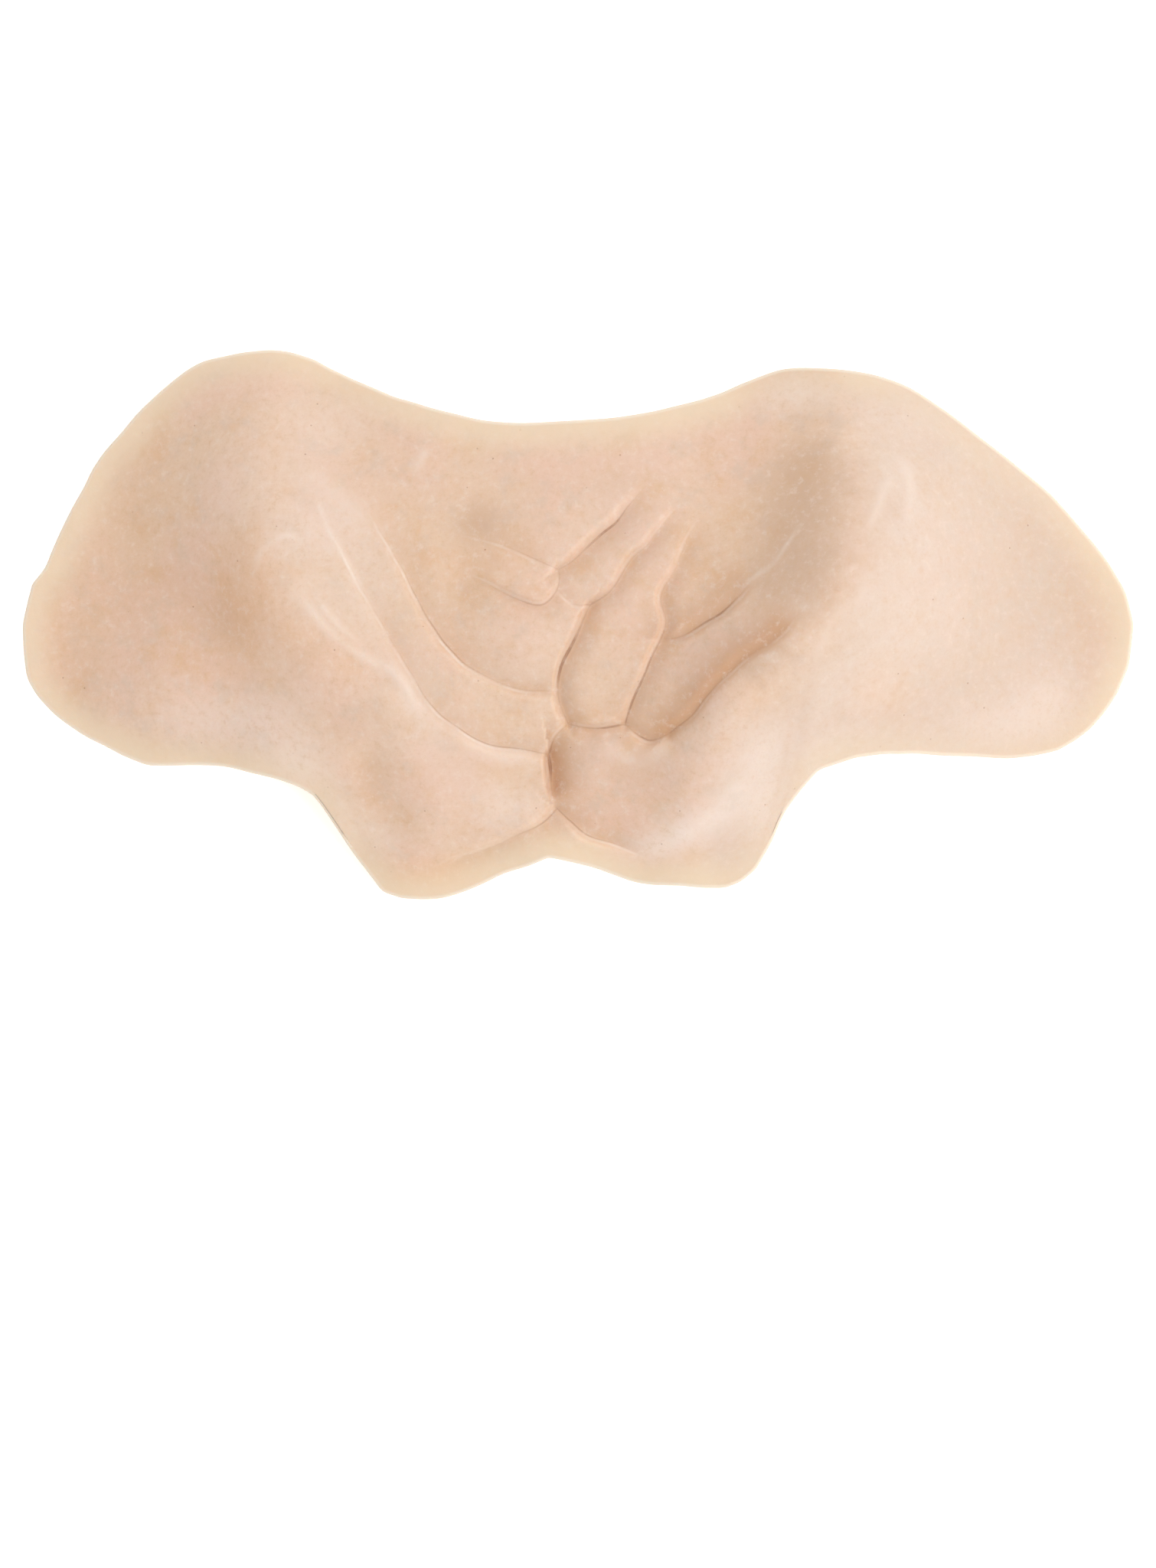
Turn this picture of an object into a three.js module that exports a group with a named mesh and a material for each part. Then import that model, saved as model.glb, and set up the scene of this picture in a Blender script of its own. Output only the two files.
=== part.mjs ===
// A scowling forehead piece in cast latex, worn on the brow and glued along its rim.
// All sizes are millimetres. It lies on a table on its hollow side:
// +X is to the right as it is seen from the front, +Y is up the forehead, +Z is out of the face.
import * as THREE from 'three';

// The casting: its wall in the middle and at the trimmed rim, how far in the wall thins, the least
// height of the front, the share of the folds on the back, and the step that measures a slope.
const WALL = 2.4;
const RIM_WALL = 1.2;
const FEATHER = 9;
const RIM_FLOOR = 0.8;
const INNER_FOLDS = 0.5;
const SLOPE_STEP = 0.5;

// The broad arch of the forehead, without brows and folds.
const ARCH = { height: 18, halfSpan: 68, power: 2.4, fallUp: 0.0075, fallDown: 0.0095, settle: 3 };

// The brows' heights are blended along their length with one power, the folds' depths with the other.
const BROW_BLEND = 6;
const FOLD_BLEND = 3;

// The lip beside a crease, the share of a crease that fades at an end, and the narrowest valley that
// the facets can show.
const LIP_REACH = 7;
const LIP_SHARPNESS = 0.9;
const FADE_SHARE = 0.5;
const LIP_FADE = 0.25;
const FINEST_REACH = 2;

// The faceted skin: columns across the face, rows up it, how far the columns crowd to the middle, and
// how soon the bulge of the two short sides fades out.
const COLUMNS = 84;
const ROWS = 42;
const CROWDING = 0.35;
const SIDE_HOLD = 3;
const STEPS_PER_SPAN = 12;

const LATEX = { color: 0xe6c7b1, roughness: 0.78, metalness: 0 };

// The hand-trimmed rim, one row for each place measured, clockwise. Columns: x, y.
const TOP_EDGE = [
  [-56.8, 36.3], [-45.7, 39.3], [-38.4, 38.0], [-30.5, 34.3], [-22.5, 31.1], [-11.5, 28.6],
  [5.5, 29.1], [18.7, 32.2], [24.5, 34.6], [31.5, 36.5], [45.0, 34.8],
];
const RIGHT_EDGE = [
  [59.0, 25.6], [67.1, 19.3], [73.5, 12.4], [78.8, 5.1], [80.1, -1.6], [78.8, -7.4],
  [75.5, -13.2], [69.8, -17.8],
];
const BOTTOM_EDGE = [
  [62.5, -19.4], [47.0, -18.6], [39.5, -19.4], [33.4, -21.7], [29.1, -28.0], [26.1, -34.4],
  [22.1, -37.6], [15.0, -37.7], [8.5, -37.1], [-2.2, -33.8], [-7.2, -34.6], [-18.0, -39.0],
  [-25.5, -39.4], [-29.2, -37.1], [-37.6, -24.9], [-40.2, -23.2], [-51.5, -20.4],
];
const LEFT_EDGE = [
  [-61.5, -20.4], [-68.0, -17.8], [-73.6, -14.4], [-78.6, -9.5], [-80.1, -2.0], [-78.9, 5.2],
  [-77.2, 7.6], [-72.9, 16.4], [-68.0, 25.1],
];

// The brows, from the hairline down to the nose root.
// Columns: x, y, height, width towards the middle, width towards the temple.
const BROWS = [
  {
    name: 'left brow',
    innerSide: 1,
    rows: [
      [-45.0, 38.0, 2.0, 8.0, 13.0],
      [-46.5, 21.5, 4.8, 10.0, 12.0],
      [-44.5, 8.3, 5.8, 12.0, 7.2],
      [-41.0, 0.0, 5.4, 11.5, 7.0],
      [-35.0, -6.5, 4.6, 11.0, 11.0],
      [-27.0, -13.0, 3.4, 9.0, 12.0],
      [-23.5, -20.0, 2.4, 9.0, 8.0],
      [-22.0, -27.0, 2.0, 9.0, 7.0],
      [-22.5, -34.0, 1.2, 8.0, 7.0],
    ],
  },
  {
    name: 'right brow',
    innerSide: -1,
    rows: [
      [38.5, 38.0, 2.4, 9.0, 14.0],
      [41.0, 24.0, 8.0, 11.0, 18.0],
      [40.5, 10.0, 13.0, 14.0, 19.0],
      [36.5, 1.7, 12.6, 13.5, 19.0],
      [30.5, -5.0, 11.0, 12.5, 15.0],
      [24.3, -11.5, 8.4, 11.5, 12.0],
      [20.0, -18.0, 6.8, 9.0, 10.0],
      [17.6, -25.0, 5.6, 9.0, 8.5],
      [16.5, -33.0, 3.0, 8.0, 8.0],
    ],
  },
];

// Soft swellings and, with a height below nothing, dents: the temples, the nose root, the pads over
// it, the flank of the left lobe, the knuckle of the left brow and the middle of the forehead.
// Columns: x, y, radius in x, radius in y, height.
const SWELLINGS = [
  [-61.0, -10.5, 9.0, 8.0, 2.4],
  [65.0, -8.5, 10.0, 8.0, 1.6],
  [-44.5, -19.0, 7.0, 5.0, 1.0],
  [-3.0, -32.0, 9.0, 5.0, 2.2],
  [4.5, -17.5, 4.0, 3.5, 0.8],
  [-2.5, -26.5, 5.0, 3.5, -0.6],
  [-29.5, -20.5, 3.0, 4.0, -1.0],
  [-26.0, -27.0, 3.5, 4.5, -0.9],
  [-34.5, -14.5, 5.0, 3.0, -0.5],
  [-25.5, -12.8, 4.5, 4.5, 0.7],
  [0.0, 12.0, 10.0, 11.0, 1.4],
  [-8.5, 7.2, 6.0, 3.0, 0.6],
  [-7.0, -2.5, 8.0, 5.5, 1.2],
  [-16.5, 3.5, 3.0, 4.0, -0.7],
  [-15.0, 14.5, 4.0, 3.5, -0.7],
  [6.0, -4.0, 5.0, 8.0, 0.3],
  [-19.5, -8.5, 3.0, 4.0, -0.5],
];

// The frown folds, a row for each crease, with the steep edge of a fold on the left of its path.
// Near and far are the reach of the valley on the left and on the right, and lip lifts the left side
// to twice its height. The ends named in runsOut fade away.
const FOLDS = [
  { name: 'cleft', depth: 2.3, near: 1.2, far: 6.0, lip: 0.1, runsOut: ['start'],
    path: [[-3.0, -26.6], [-3.7, -23.0], [-4.2, -18.7]] },
  { name: 'cleft top', depth: 0.8, near: 1.6, far: 3.0, lip: 0.05, runsOut: [],
    path: [[-4.2, -18.7], [-3.4, -16.6], [-1.4, -14.4]] },
  { name: 'nose root left', depth: 0.8, near: 1.4, far: 4.0, lip: 0.25, runsOut: ['start'],
    path: [[-22.0, -35.8], [-10.5, -31.1], [-5.5, -28.9], [-3.0, -26.6]] },
  { name: 'nose root right', depth: 0.9, near: 1.4, far: 5.0, lip: 0.15, runsOut: ['start'],
    path: [[11.0, -33.3], [2.2, -30.6], [-1.1, -28.2], [-3.0, -26.6]] },
  { name: 'right pad top', depth: 0.8, near: 1.4, far: 2.6, lip: 0.05, runsOut: [],
    path: [[-1.4, -14.4], [2.5, -15.1], [6.6, -14.7]] },
  { name: 'right brow edge', depth: 0.8, near: 3.6, far: 1.6, lip: 0.1, runsOut: ['start'],
    path: [[31.6, 1.7], [27.5, -2.7], [21.5, -7.1], [16.0, -13.2], [13.0, -15.8]] },
  { name: 'right brow corner', depth: 0.7, near: 1.0, far: 2.4, lip: 0.15, runsOut: [],
    path: [[13.0, -15.8], [9.9, -16.7], [6.6, -14.7]] },
  { name: 'middle fold left', depth: 1.3, near: 1.4, far: 3.6, lip: 0.1, runsOut: [],
    path: [[-1.4, -14.4], [-3.0, -9.8], [-1.2, -4.0], [1.9, 2.4]] },
  { name: 'middle fold right', depth: 0.7, near: 1.6, far: 2.6, lip: 0.12, runsOut: ['end'],
    path: [[6.6, -14.7], [8.8, -8.8], [12.2, -1.0], [11.9, 3.4], [13.8, 7.8], [18.2, 16.6]] },
  { name: 'upper fold bottom', depth: 1.0, near: 1.4, far: 3.2, lip: 0.08, runsOut: ['end'],
    path: [[1.9, 2.4], [5.0, 4.8], [7.8, 9.1], [10.2, 11.4], [15.4, 17.7]] },
  { name: 'upper fold foot', depth: 0.5, near: 1.2, far: 2.4, lip: 0, runsOut: [],
    path: [[1.9, 2.4], [-0.5, 2.6], [-2.8, 4.4]] },
  { name: 'upper fold top', depth: 1.1, near: 2.0, far: 3.6, lip: 0.1, runsOut: ['end'],
    path: [[-2.8, 7.2], [0.0, 9.1], [3.3, 12.2], [6.1, 14.9], [10.5, 20.4]] },
  { name: 'knob bottom', depth: 0.6, near: 1.5, far: 3.0, lip: 0.1, runsOut: ['start'],
    path: [[-16.5, 6.7], [-10.5, 4.1], [-5.5, 2.1], [-2.8, 4.4], [-2.8, 7.2]] },
  { name: 'knob top', depth: 0.3, near: 1.5, far: 2.2, lip: 0, runsOut: ['end'],
    path: [[-2.8, 7.2], [-6.1, 8.9], [-12.7, 11.6], [-17.1, 12.7]] },
  { name: 'right side fold', depth: 0.5, near: 1.4, far: 1.8, lip: 0.05, runsOut: ['start'],
    path: [[25.5, 6.6], [22.4, 3.4], [19.3, 0.6], [14.3, -2.3], [12.2, -2.5]] },
  { name: 'left fold top', depth: 0.75, near: 1.8, far: 5.0, lip: 0.1, runsOut: ['end'],
    path: [[-3.1, -10.1], [-11.6, -8.5], [-18.2, -3.8], [-22.6, 2.8], [-26.8, 11.1], [-30.3, 16.6]] },
  { name: 'left brow edge', depth: 0.6, near: 2.0, far: 3.2, lip: 0.1, runsOut: ['end'],
    path: [[-4.2, -18.7], [-12.7, -17.2], [-19.3, -13.2], [-24.8, -5.5], [-30.3, 4.5], [-36.6, 15.5]] },
];

// Eases from 0 to 1 while value goes from low to high.
function ease(low, high, value) {
  const t = Math.min(Math.max((value - low) / (high - low), 0), 1);
  return t * t * (3 - 2 * t);
}

// A smooth curve through the rows of a table, every column alike.
function smoothRows(rows, closed = false) {
  const last = rows.length - 1;
  const clamp = (i) => rows[Math.min(Math.max(i, 0), last)];
  const wrap = (i) => rows[(i + rows.length) % rows.length];
  const pick = closed ? wrap : clamp;
  const spans = closed ? rows.length : last;
  const curve = [];
  for (let i = 0; i < spans; i += 1) {
    const [a, b, c, d] = [pick(i - 1), pick(i), pick(i + 1), pick(i + 2)];
    for (let k = 0; k < STEPS_PER_SPAN; k += 1) {
      const t = k / STEPS_PER_SPAN;
      curve.push(b.map((value, n) => {
        const bend = 2 * a[n] - 5 * value + 4 * c[n] - d[n];
        const turn = 3 * value - a[n] - 3 * c[n] + d[n];
        return value + 0.5 * t * (c[n] - a[n] + t * (bend + t * turn));
      }));
    }
  }
  if (!closed) curve.push(rows[last]);
  return curve;
}

// The nearest place on a path: distance, side (+1 on the left of the path) and share of the way.
function nearest(path, x, y) {
  let best = { distance: Infinity, side: 1, way: 0 };
  let way = 0;
  for (let i = 1; i < path.length; i += 1) {
    const [ax, ay] = path[i - 1];
    const dx = path[i][0] - ax;
    const dy = path[i][1] - ay;
    const length = Math.hypot(dx, dy);
    const t = Math.min(Math.max(((x - ax) * dx + (y - ay) * dy) / (length * length), 0), 1);
    const distance = Math.hypot(x - ax - t * dx, y - ay - t * dy);
    if (distance < best.distance) {
      const side = dx * (y - ay) - dy * (x - ax) < 0 ? -1 : 1;
      best = { distance, side, way: way + t * length };
    }
    way += length;
  }
  return { ...best, share: best.way / way };
}

// A brow's crest as a row of places with their direction and the step to the next one.
function crestOf(brow) {
  const curve = smoothRows(brow.rows);
  return curve.map(([x, y, height, inner, outer], i) => {
    const before = curve[Math.max(i - 1, 0)];
    const after = curve[Math.min(i + 1, curve.length - 1)];
    const run = new THREE.Vector2(after[0] - before[0], after[1] - before[1]);
    const step = run.length() / (i === 0 || i === curve.length - 1 ? 1 : 2);
    run.normalize();
    const span = 0.5 * (inner + outer);
    const share = step / (span * Math.sqrt(Math.PI / BROW_BLEND));
    return { x, y, height, inner, outer, span, share, run, innerSide: brow.innerSide };
  });
}

const crests = BROWS.map(crestOf);
const folds = FOLDS.map((fold) => ({ ...fold, path: smoothRows(fold.path) }));
const sides = [TOP_EDGE, RIGHT_EDGE, BOTTOM_EDGE, LEFT_EDGE];
const rim = smoothRows(sides.flat(), true);
const closedRim = [...rim, rim[0]];

// The arch settles on the table where it would go below it.
function archHeight(x, y) {
  const fall = y > 0 ? ARCH.fallUp : ARCH.fallDown;
  const span = 1 - Math.abs(x / ARCH.halfSpan) ** ARCH.power;
  const free = ARCH.height * span - fall * y * y;
  return ARCH.settle * Math.log1p(Math.exp((free - RIM_FLOOR) / ARCH.settle)) + RIM_FLOOR;
}

function browHeight(crest, x, y) {
  let total = 0;
  for (const place of crest) {
    const rx = x - place.x;
    const ry = y - place.y;
    const along = (rx * place.run.x + ry * place.run.y) / place.span;
    const across = ry * place.run.x - rx * place.run.y;
    const width = across * place.innerSide > 0 ? place.inner : place.outer;
    const swell = place.height * Math.exp(-((across / width) ** 2) - along * along);
    total += place.share * swell ** BROW_BLEND;
  }
  return total ** (1 / BROW_BLEND);
}

function swellingHeight(x, y) {
  let total = 0;
  for (const [cx, cy, rx, ry, height] of SWELLINGS) {
    total += height * Math.exp(-(((x - cx) / rx) ** 2) - ((y - cy) / ry) ** 2);
  }
  return total;
}

function foldHeight(x, y) {
  let depth = 0;
  let lip = 0;
  for (const fold of folds) {
    const { distance, side, share } = nearest(fold.path, x, y);
    const fromStart = fold.runsOut.includes('start') ? ease(0, FADE_SHARE, share) : 1;
    const fromEnd = fold.runsOut.includes('end') ? ease(0, FADE_SHARE, 1 - share) : 1;
    const reach = Math.max(side > 0 ? fold.near : fold.far, FINEST_REACH);
    const valley = Math.max(1 - distance / reach, 0) ** 2;
    depth += (fold.depth * fromStart * fromEnd * valley) ** FOLD_BLEND;
    const middle = ease(0, LIP_FADE, share) * ease(0, LIP_FADE, 1 - share);
    const shelf = Math.max(1 - distance / LIP_REACH, 0) ** 2;
    lip += fold.lip * middle * (1 + side * Math.tanh(distance / LIP_SHARPNESS)) * shelf;
  }
  return lip - depth ** (1 / FOLD_BLEND);
}

// Front of the casting with a share of the folds: all of them outside, some inside.
function frontHeight(x, y, foldShare) {
  const brows = crests.reduce((sum, crest) => sum + browHeight(crest, x, y), 0);
  const soft = archHeight(x, y) + brows + swellingHeight(x, y);
  return Math.max(soft + foldShare * foldHeight(x, y), RIM_FLOOR);
}

// Back of the casting: one wall below the front, measured square to it, and never below the table.
function backHeight(x, y) {
  const middle = frontHeight(x, y, INNER_FOLDS);
  const slopeX = (frontHeight(x + SLOPE_STEP, y, INNER_FOLDS) - middle) / SLOPE_STEP;
  const slopeY = (frontHeight(x, y + SLOPE_STEP, INNER_FOLDS) - middle) / SLOPE_STEP;
  const thin = ease(0, FEATHER, nearest(closedRim, x, y).distance);
  const wall = RIM_WALL + (WALL - RIM_WALL) * thin;
  return Math.max(middle - wall * Math.hypot(1, slopeX, slopeY), 0);
}

// The rim between two corners, and a place on it by share of its length or of its width.
function rimSide(side) {
  const start = sides.slice(0, side).flat().length * STEPS_PER_SPAN;
  const count = sides[side].length * STEPS_PER_SPAN;
  const points = [];
  for (let i = 0; i <= count; i += 1) points.push(rim[(start + i) % rim.length]);
  return points;
}

function placeOn(points, share, measure) {
  const marks = [0];
  for (let i = 1; i < points.length; i += 1) {
    marks.push(marks[i - 1] + measure(points[i - 1], points[i]));
  }
  const target = share * marks[marks.length - 1];
  let i = 1;
  while (i < points.length - 1 && marks[i] < target) i += 1;
  const t = (target - marks[i - 1]) / (marks[i] - marks[i - 1]);
  const [a, b] = [points[i - 1], points[i]];
  return [a[0] + t * (b[0] - a[0]), a[1] + t * (b[1] - a[1])];
}

const byWidth = (a, b) => Math.abs(b[0] - a[0]);
const byLength = (a, b) => Math.hypot(b[0] - a[0], b[1] - a[1]);
const topSide = rimSide(0);
const rightSide = rimSide(1).reverse();
const bottomSide = rimSide(2).reverse();
const leftSide = rimSide(3);

// A net of places between the four sides of the rim. The bulges of the two short sides fade out
// soon, so that the net doesn't fold over where the rim runs steeply.
function netPlace(column, row) {
  const u = column / COLUMNS;
  const across = u + (CROWDING * Math.sin(2 * Math.PI * u)) / (2 * Math.PI);
  const up = row / ROWS;
  const top = placeOn(topSide, across, byWidth);
  const bottom = placeOn(bottomSide, across, byWidth);
  const left = placeOn(leftSide, up, byLength);
  const right = placeOn(rightSide, up, byLength);
  return [0, 1].map((n) => {
    const leftBulge = left[n] - (1 - up) * leftSide[0][n] - up * leftSide.at(-1)[n];
    const rightBulge = right[n] - (1 - up) * rightSide[0][n] - up * rightSide.at(-1)[n];
    const between = (1 - up) * bottom[n] + up * top[n];
    return between + (1 - across) ** SIDE_HOLD * leftBulge + across ** SIDE_HOLD * rightBulge;
  });
}

// The skin of the piece: the front on the full net, the back on every second place of it.
function castingGeometry() {
  const points = [];
  const faces = [];
  const net = [];
  for (let row = 0; row <= ROWS; row += 1) {
    for (let column = 0; column <= COLUMNS; column += 1) net.push(netPlace(column, row));
  }
  const addSkin = (step, height, facing) => {
    const first = points.length;
    const columns = COLUMNS / step;
    const rows = ROWS / step;
    const at = (column, row) => first + row * (columns + 1) + column;
    for (let row = 0; row <= rows; row += 1) {
      for (let column = 0; column <= columns; column += 1) {
        const [x, y] = net[row * step * (COLUMNS + 1) + column * step];
        points.push([x, y, height(x, y)]);
      }
    }
    for (let row = 0; row < rows; row += 1) {
      for (let column = 0; column < columns; column += 1) {
        const a = at(column, row);
        const b = at(column + 1, row);
        const c = at(column + 1, row + 1);
        const d = at(column, row + 1);
        const level = Math.abs(points[a][2] - points[c][2]) < Math.abs(points[b][2] - points[d][2]);
        const pair = level ? [[a, b, c], [a, c, d]] : [[a, b, d], [b, c, d]];
        for (const [i, j, k] of pair) faces.push(facing > 0 ? [i, j, k] : [i, k, j]);
      }
    }
    const ring = [];
    for (let column = 0; column < columns; column += 1) ring.push(at(column, 0));
    for (let row = 0; row < rows; row += 1) ring.push(at(columns, row));
    for (let column = columns; column > 0; column -= 1) ring.push(at(column, rows));
    for (let row = rows; row > 0; row -= 1) ring.push(at(0, row));
    return ring;
  };
  const front = addSkin(1, (x, y) => frontHeight(x, y, 1), 1);
  const back = addSkin(2, backHeight, -1);
  back.forEach((low, i) => {
    const next = back[(i + 1) % back.length];
    const [a, b, c] = [front[2 * i], front[2 * i + 1], front[(2 * i + 2) % front.length]];
    faces.push([low, b, a], [low, next, b], [next, c, b]);
  });
  const geometry = new THREE.BufferGeometry();
  geometry.setAttribute('position', new THREE.Float32BufferAttribute(points.flat(), 3));
  geometry.setIndex(faces.flat());
  return geometry;
}

const skin = castingGeometry();
skin.computeBoundingBox();
const middle = skin.boundingBox.getCenter(new THREE.Vector3());
skin.translate(-middle.x, -middle.y, -skin.boundingBox.min.z);
skin.computeVertexNormals();

const part = new THREE.Group();
part.name = 'prosthetic_forehead';
const forehead = new THREE.Mesh(skin, new THREE.MeshStandardMaterial(LATEX));
forehead.name = 'forehead';
part.add(forehead);

export default part;
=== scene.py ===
# %% [markdown]
# # A scowling forehead in cast latex
#
# The object is one piece: a forehead with two heavy brows, the frown folds between them and two
# wings that lie on the temples. It was cast as a thin latex skin in a mould, painted in a flesh
# tone, dusted with powder and trimmed by hand with scissors. It lies on its hollow side.
#
# The packed CAD part is the fixed frame. This script makes a finer skin from the same few tables
# of real sizes, so the picture and the solid agree, and then gives that skin its finish.

import math

import bpy
import numpy as np
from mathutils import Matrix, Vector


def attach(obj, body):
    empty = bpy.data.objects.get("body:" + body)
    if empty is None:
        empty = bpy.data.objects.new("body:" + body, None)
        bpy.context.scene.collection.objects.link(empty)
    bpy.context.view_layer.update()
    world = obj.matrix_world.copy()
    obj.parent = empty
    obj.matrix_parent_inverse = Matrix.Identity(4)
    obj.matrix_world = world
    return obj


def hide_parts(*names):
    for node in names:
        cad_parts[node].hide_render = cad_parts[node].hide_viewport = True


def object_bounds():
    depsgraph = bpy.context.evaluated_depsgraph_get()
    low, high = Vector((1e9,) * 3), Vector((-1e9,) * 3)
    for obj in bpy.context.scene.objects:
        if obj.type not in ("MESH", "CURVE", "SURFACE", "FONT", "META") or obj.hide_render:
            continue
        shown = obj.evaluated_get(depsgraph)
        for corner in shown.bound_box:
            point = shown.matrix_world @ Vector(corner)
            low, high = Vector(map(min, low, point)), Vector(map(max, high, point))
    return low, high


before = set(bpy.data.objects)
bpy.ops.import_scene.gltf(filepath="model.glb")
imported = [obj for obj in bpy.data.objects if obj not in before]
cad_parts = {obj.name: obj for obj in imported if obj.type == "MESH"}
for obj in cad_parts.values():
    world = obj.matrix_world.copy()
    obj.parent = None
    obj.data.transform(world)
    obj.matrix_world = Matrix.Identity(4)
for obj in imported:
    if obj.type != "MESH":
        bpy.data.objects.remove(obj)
cad_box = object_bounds()
MM = 0.001
print("nodes in the frame:", sorted(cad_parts))

# %% [markdown]
# ## The trimmed rim
#
# The rim is a line that somebody cut with scissors, so no formula gives it. A few measured places
# are enough, because a smooth curve runs through them. The curve is then broken into short straight
# snips, each a little off, as a hand leaves them. The rim is kept as four sides, since a net of
# faces is stretched between four sides later on. All sizes in the tables are millimetres.

# %% Rim tables and the smooth curve through a table
TOP_EDGE = [
    (-56.8, 36.3), (-45.7, 39.3), (-38.4, 38.0), (-30.5, 34.3), (-22.5, 31.1), (-11.5, 28.6),
    (5.5, 29.1), (18.7, 32.2), (24.5, 34.6), (31.5, 36.5), (45.0, 34.8),
]
RIGHT_EDGE = [
    (59.0, 25.6), (67.1, 19.3), (73.5, 12.4), (78.8, 5.1), (80.1, -1.6), (78.8, -7.4),
    (75.5, -13.2), (69.8, -17.8),
]
BOTTOM_EDGE = [
    (62.5, -19.4), (47.0, -18.6), (39.5, -19.4), (33.4, -21.7), (29.1, -28.0), (26.1, -34.4),
    (22.1, -37.6), (15.0, -37.7), (8.5, -37.1), (-2.2, -33.8), (-7.2, -34.6), (-18.0, -39.0),
    (-25.5, -39.4), (-29.2, -37.1), (-37.6, -24.9), (-40.2, -23.2), (-51.5, -20.4),
]
LEFT_EDGE = [
    (-61.5, -20.4), (-68.0, -17.8), (-73.6, -14.4), (-78.6, -9.5), (-80.1, -2.0), (-78.9, 5.2),
    (-77.2, 7.6), (-72.9, 16.4), (-68.0, 25.1),
]
RIM_SIDES = [TOP_EDGE, RIGHT_EDGE, BOTTOM_EDGE, LEFT_EDGE]
STEPS_PER_SPAN = 12
SNIP_LENGTH = 3.2
SNIP_UNEVEN = 0.3
SNIP_SLIP = 0.18
SNIP_SOFTENING = 2
SNIP_SEED = 4


def smooth_rows(rows, closed=False):
    """A smooth curve through the rows of a table, every column alike."""
    rows = np.asarray(rows, float)
    ends = (rows[-1:], rows[:2]) if closed else (rows[:1], rows[-1:])
    padded = np.vstack([ends[0], rows, ends[1]])
    count = len(padded) - 3
    a, b, c, d = (padded[i:i + count, None, :] for i in range(4))
    t = np.arange(STEPS_PER_SPAN)[None, :, None] / STEPS_PER_SPAN
    bend = 2 * a - 5 * b + 4 * c - d
    turn = 3 * b - a - 3 * c + d
    curve = (b + 0.5 * t * (c - a + t * (bend + t * turn))).reshape(-1, rows.shape[1])
    return curve if closed else np.vstack([curve, rows[-1:]])


def snipped(curve):
    """A closed curve as scissors cut it, in short straight snips with small slips."""
    dice = np.random.default_rng(SNIP_SEED)
    loop = np.vstack([curve, curve[:1]])
    marks = np.concatenate([[0], np.cumsum(np.linalg.norm(np.diff(loop, axis=0), axis=1))])
    count = int(marks[-1] / SNIP_LENGTH)
    snips = (np.arange(count) + dice.uniform(-SNIP_UNEVEN, SNIP_UNEVEN, count)) * marks[-1] / count
    cut = np.empty_like(curve)
    for n in range(2):
        places = np.interp(snips, marks, loop[:, n], period=marks[-1])
        places += dice.uniform(-SNIP_SLIP, SNIP_SLIP, count)
        cut[:, n] = np.interp(marks[:-1], snips, places, period=marks[-1])
    for _ in range(SNIP_SOFTENING):
        cut = 0.25 * (np.roll(cut, 1, axis=0) + 2 * cut + np.roll(cut, -1, axis=0))
    return cut


rim = snipped(smooth_rows(sum(RIM_SIDES, []), closed=True))
print("rim length: %.0f mm" % np.linalg.norm(np.roll(rim, -1, axis=0) - rim, axis=1).sum())

# %% [markdown]
# ## The relief
#
# On the real piece the relief was sculpted in clay. Sculpting could be done here with brushes, but
# a script has to give the same shape each time. So the height is a sum of simple forms: a broad
# arch, two brows that swell along a crest, some soft swellings and the creases between the folds.
# Each form has a row in a table, and a row can be changed without touching the others.

# %% Tables of the brows and swellings
# Columns: x, y, height, width towards the middle, width towards the temple.
LEFT_BROW = [
    (-45.0, 38.0, 2.0, 8.0, 13.0),
    (-46.5, 21.5, 4.8, 10.0, 12.0),
    (-44.5, 8.3, 5.8, 12.0, 7.2),
    (-41.0, 0.0, 5.4, 11.5, 7.0),
    (-35.0, -6.5, 4.6, 11.0, 11.0),
    (-27.0, -13.0, 3.4, 9.0, 12.0),
    (-23.5, -20.0, 2.4, 9.0, 8.0),
    (-22.0, -27.0, 2.0, 9.0, 7.0),
    (-22.5, -34.0, 1.2, 8.0, 7.0),
]
RIGHT_BROW = [
    (38.5, 38.0, 2.4, 9.0, 14.0),
    (41.0, 24.0, 8.0, 11.0, 18.0),
    (40.5, 10.0, 13.0, 14.0, 19.0),
    (36.5, 1.7, 12.6, 13.5, 19.0),
    (30.5, -5.0, 11.0, 12.5, 15.0),
    (24.3, -11.5, 8.4, 11.5, 12.0),
    (20.0, -18.0, 6.8, 9.0, 10.0),
    (17.6, -25.0, 5.6, 9.0, 8.5),
    (16.5, -33.0, 3.0, 8.0, 8.0),
]
# Columns: x, y, radius in x, radius in y, height.
SWELLINGS = [
    (-61.0, -10.5, 9.0, 8.0, 2.4),
    (65.0, -8.5, 10.0, 8.0, 1.6),
    (-44.5, -19.0, 7.0, 5.0, 1.0),
    (-3.0, -32.0, 9.0, 5.0, 2.2),
    (4.5, -17.5, 4.0, 3.5, 0.8),
    (-2.5, -26.5, 5.0, 3.5, -0.6),
    (-29.5, -20.5, 3.0, 4.0, -1.0),
    (-26.0, -27.0, 3.5, 4.5, -0.9),
    (-34.5, -14.5, 5.0, 3.0, -0.5),
    (-25.5, -12.8, 4.5, 4.5, 0.7),
    (0.0, 12.0, 10.0, 11.0, 1.4),
    (-8.5, 7.2, 6.0, 3.0, 0.6),
    (-7.0, -2.5, 8.0, 5.5, 1.2),
    (-16.5, 3.5, 3.0, 4.0, -0.7),
    (-15.0, 14.5, 4.0, 3.5, -0.7),
    (6.0, -4.0, 5.0, 8.0, 0.3),
    (-19.5, -8.5, 3.0, 4.0, -0.5),
]
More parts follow.
